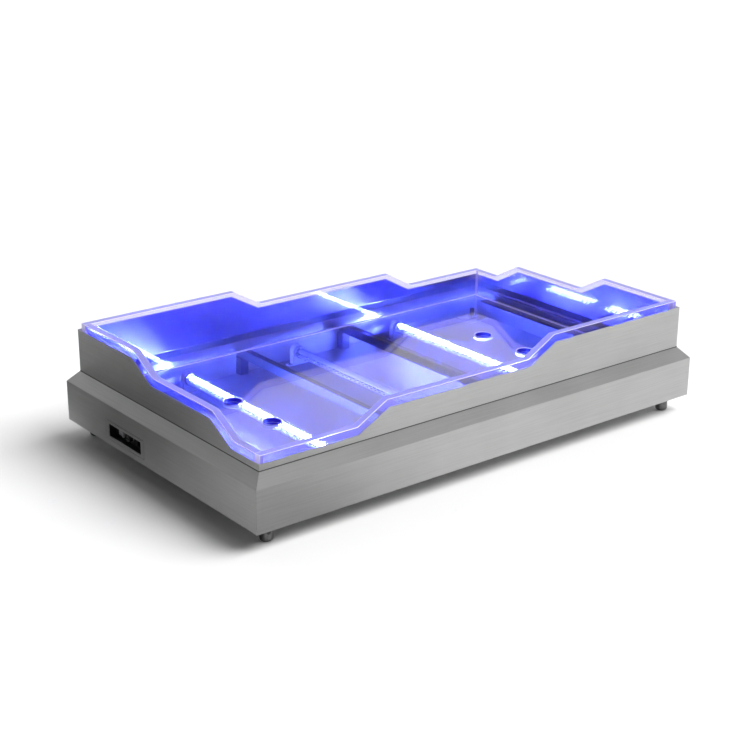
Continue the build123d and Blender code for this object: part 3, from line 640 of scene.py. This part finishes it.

# bored drain walls: matt from the drill, and painted deep navy, a painted shade, with a faint painted blue
# glow
drain_painted_shade, tree, place = start_material("drain_wall_painted_shade")
rings = add_node(tree, "ShaderNodeTexNoise", {"Vector": place, "Scale": 1 / (2 * mm)}).outputs["Fac"]
finish_material(tree, rings, ("#060624", "#0a0a34"), (0.5, 0.7),
                {"Specular IOR Level": 0.1,
                 "Emission Color": (0.03, 0.02, 0.6, 1.0), "Emission Strength": 0.5})


def finish_plate(plate, node, finish_of, is_free):
    """Give a clear plate's faces their finishes, scrape its free edges, and let it stand for a node."""
    finishes = [acrylic, scraped, rim_painted_glow, cemented, drain_painted_shade]
    for finish in finishes:
        plate.data.materials.append(finish)
    for face in plate.data.polygons:
        face.material_index = finishes.index(finish_of(face))
    activate(plate)
    bpy.ops.object.mode_set(mode="EDIT")
    pick("edges", is_free)
    bpy.ops.mesh.bevel(offset=scrape_width, segments=2, affect="EDGES", material=finishes.index(scraped))
    bpy.ops.object.mode_set(mode="OBJECT")
    shade_smooth(plate, sheet_sharp)
    stand_in(plate, node)


def saw_wall(side, half_long, reach, span, low_run, mid_run, climb, turn, ends_free):
    """One clear wall: a bar of sheet with its top sawn to the steps, made at the front and turned."""
    deselect_all()
    bpy.ops.mesh.primitive_cube_add(size=1, enter_editmode=True)
    wall = bpy.context.object
    wall.name = f"clear_{side}_wall"
    middle = wall_thick / 2 - reach
    bpy.ops.transform.resize(value=(2 * half_long, wall_thick, wall_top - wall_bottom))
    bpy.ops.transform.translate(value=(0, middle, (wall_top + wall_bottom) / 2))
    cut_steps(wall_top, half_long, span, low_run, mid_run, climb)
    bpy.ops.mesh.select_all(action="SELECT")
    bpy.ops.mesh.dissolve_limited(angle_limit=radians(1))
    bpy.ops.object.mode_set(mode="OBJECT")

    def finish_of(face):
        """Sawn on top, scraped or cemented at the ends, cemented below, and clear at the sides."""
        if face.normal.z > 0.5:
            return rim_painted_glow
        if abs(face.normal.x) > 0.9:
            return scraped if ends_free else cemented
        return cemented if face.normal.z < -0.5 else acrylic

    def is_free(m):
        """Whether an edge is scraped: all inside, and above the joint those outside and at free ends."""
        inside = m.y > middle + wall_thick / 4
        outside = m.y < middle - wall_thick / 4
        above_joint = m.z > wall_bottom + nothing
        if abs(m.x) > half_long - nothing:
            return inside or (ends_free and above_joint)
        return inside or (outside and above_joint)

    finish_plate(wall, f"basin_{side}_wall", finish_of, is_free)
    wall.rotation_euler.z = turn
    settle(wall)


for side, turn in (("front", 0), ("back", pi)):
    saw_wall(side, basin_half_x, basin_half_y, length, front_low_run, front_mid_run, 1, turn, True)
short_half = basin_half_y - wall_thick - glue_gap
for side, turn in (("left", -pi / 2), ("right", pi / 2)):
    saw_wall(side, short_half, basin_half_x, depth, side_low_run, side_mid_run, -1, turn, False)

deselect_all()
bpy.ops.mesh.primitive_cube_add(size=1, enter_editmode=True)
floor_plate = bpy.context.object
floor_plate.name = "clear_floor"
bpy.ops.transform.resize(value=(2 * basin_half_x, 2 * basin_half_y, floor_top - floor_bottom))
bpy.ops.transform.translate(value=(0, 0, (floor_top + floor_bottom) / 2))
bpy.ops.object.mode_set(mode="OBJECT")
drain_places = [Vector((x * drain_pitch_x / 2, y * drain_pitch_y / 2)) for x in (-1, 1) for y in (-1, 1)]
for drain in drain_places:
    deselect_all()
    bpy.ops.mesh.primitive_cylinder_add(vertices=64, radius=drain_radius, depth=bore_depth,
                                        location=(drain.x, drain.y, floor_bottom))
    cut_away(floor_plate, bpy.context.object)


def in_drain(m):
    """Whether a place lies on the wall or the rim of a drain."""
    drain_reach = 1.01 * drain_radius
    return any((m.xy - drain).length < drain_reach for drain in drain_places)


def floor_finish(face):
    """The painted navy shade in the drains, sawn at the outer edge, and clear elsewhere."""
    if abs(face.normal.z) > 0.5:
        return acrylic
    return drain_painted_shade if in_drain(face.center) else rim_painted_glow


finish_plate(floor_plate, "basin_floor", floor_finish, lambda m: in_drain(m) and m.z > floor_top - nothing)

# a white ring bonded under each drain, for a hose to be pushed over
collar_wall, collar_tall, collar_round = 3 * mm, 6 * mm, 0.4 * mm
collar_z = floor_bottom - rest_gap - collar_tall / 2
for number, drain in enumerate(drain_places, 1):
    deselect_all()
    bpy.ops.mesh.primitive_cylinder_add(vertices=48, radius=drain_radius + collar_wall, depth=collar_tall,
                                        end_fill_type="NOTHING", location=(drain.x, drain.y, collar_z))
    collar = bpy.context.object
    collar.name = f"drain_collar_{number}"
    settle(collar)
    apply_modifier(collar, "SOLIDIFY", thickness=collar_wall, offset=-1)
    ease_edges(collar, collar_round)
    collar.data.materials.append(white_moulding)
    collar.data.materials.append(drain_painted_shade)
    # the collar's inner face takes the drains' painted navy shade
    for face in collar.data.polygons:
        if in_drain(face.center):
            face.material_index = 1
    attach(collar, "basin")


# Studio: a plain pale floor, a soft key light from the right, and a room that is white along the
# horizon and at the back right, and dark above, so the basin mirrors white and the lamps stay blue.

deselect_all()
bpy.ops.mesh.primitive_plane_add(size=60)
floor = bpy.context.object
floor.name = "studio_floor"
floor_paint, tree, place = start_material("pale_floor_paint")
rolled = add_node(tree, "ShaderNodeTexNoise", {"Vector": place, "Scale": 1 / (400 * mm)}).outputs["Fac"]
finish_material(tree, rolled, ("#efefef", "#f1f1f1"), (0.85, 0.9))
floor.data.materials.append(floor_paint)

world = bpy.data.worlds.new("studio_sky")
bpy.context.scene.world = world
world.use_nodes = True
tree = world.node_tree
tree.nodes.clear()
aim = add_node(tree, "ShaderNodeTexCoord").outputs["Generated"]
# The brighter parts of the dark room are the back right, a patch overhead, and the horizon, which is
# measured from straight up. Each has a direction, the cosines of the angles from it where the part
# starts and where it is full, and a strength.
strength = 0.04
for toward, edge, full, level in (((0.62, 0.74, 0.26), 0.2, 0.95, 1.0),
                                  ((0.45, -0.3, 0.84), 0.76, 0.96, 0.75),
                                  ((0, 0, 1), 0.22, 0.06, 1.0)):
    facing = add_node(tree, "ShaderNodeVectorMath", {0: aim, 1: toward}, operation="DOT_PRODUCT")
    patch = add_node(tree, "ShaderNodeMapRange",
                     {"Value": facing.outputs["Value"],
                      "From Min": edge, "From Max": full, "To Max": level},
                     interpolation_type="SMOOTHSTEP")
    strength = add_node(tree, "ShaderNodeMath", {0: strength, 1: patch.outputs["Result"]},
                        operation="MAXIMUM").outputs["Value"]
sky = add_node(tree, "ShaderNodeBackground", {"Color": (1, 1, 1, 1), "Strength": strength})
add_node(tree, "ShaderNodeOutputWorld", {"Surface": sky.outputs["Background"]})

key_light = bpy.data.lights.new("key_light", "SUN")
key_light.energy = 3.5
key_light.angle = radians(45)
key = bpy.data.objects.new("key_light", key_light)
bpy.context.scene.collection.objects.link(key)
key_aim = Vector((-0.55, 0.4, -0.85))
key.rotation_euler = key_aim.to_track_quat("-Z", "Y").to_euler()
key.visible_glossy = False
key.visible_transmission = False

# Two cards, graded along their length, lie out of the camera's sight and darken only what the steel
# mirrors: one leans away from the left end, and the other lies in front of the front left corner.

for name, middle, lean, size, shades in (
        ("left_card", (-0.83, 0.25, 0.12), (radians(27), 0, pi / 2), (1.3, 0.5, 1), ("#b0b0b0", "#383838")),
        ("front_card", (-0.05, -0.62, 0.002), (0, 0, 0), (1.1, 0.56, 1), ("#909090", "#f0f0f0"))):
    deselect_all()
    bpy.ops.mesh.primitive_plane_add(size=1, location=middle, rotation=lean)
    card = bpy.context.object
    card.name = name
    card.scale = size
    card.visible_camera = False
    card.visible_shadow = False
    card.visible_diffuse = False
    card_paper, tree, place = start_material(name + "_paper")
    along = add_node(tree, "ShaderNodeSeparateXYZ", {"Vector": place}).outputs["X"]
    grade = add_node(tree, "ShaderNodeMapRange", {"Value": along, "From Min": -0.3, "From Max": 0})
    finish_material(tree, grade.outputs["Result"], shades, (0.9, 1.0))
    card.data.materials.append(card_paper)

view = bpy.data.cameras.new("camera")
view.sensor_width = 36
view.lens = 75.136
camera = bpy.data.objects.new("camera", view)
bpy.context.scene.collection.objects.link(camera)
camera_place = (-1.89396, -2.34111, 1.21982)
yaw, pitch, roll = radians(38.558), radians(20.361), radians(0.3735)
camera.matrix_world = (Matrix.Translation(camera_place) @ Matrix.Rotation(-yaw, 4, "Z")
                       @ Matrix.Rotation(pi / 2 - pitch, 4, "X") @ Matrix.Rotation(roll, 4, "Z"))
bpy.context.scene.camera = camera
bpy.context.scene.view_settings.view_transform = "Standard"

# light runs far inside the clear sheets and between the bright panels before it comes out, and the
# clamp is high enough for the mirrored lamps to stay bright
cycles = bpy.context.scene.cycles
cycles.sample_clamp_indirect = 200
cycles.max_bounces = 24
cycles.glossy_bounces = 16
cycles.transmission_bounces = 20
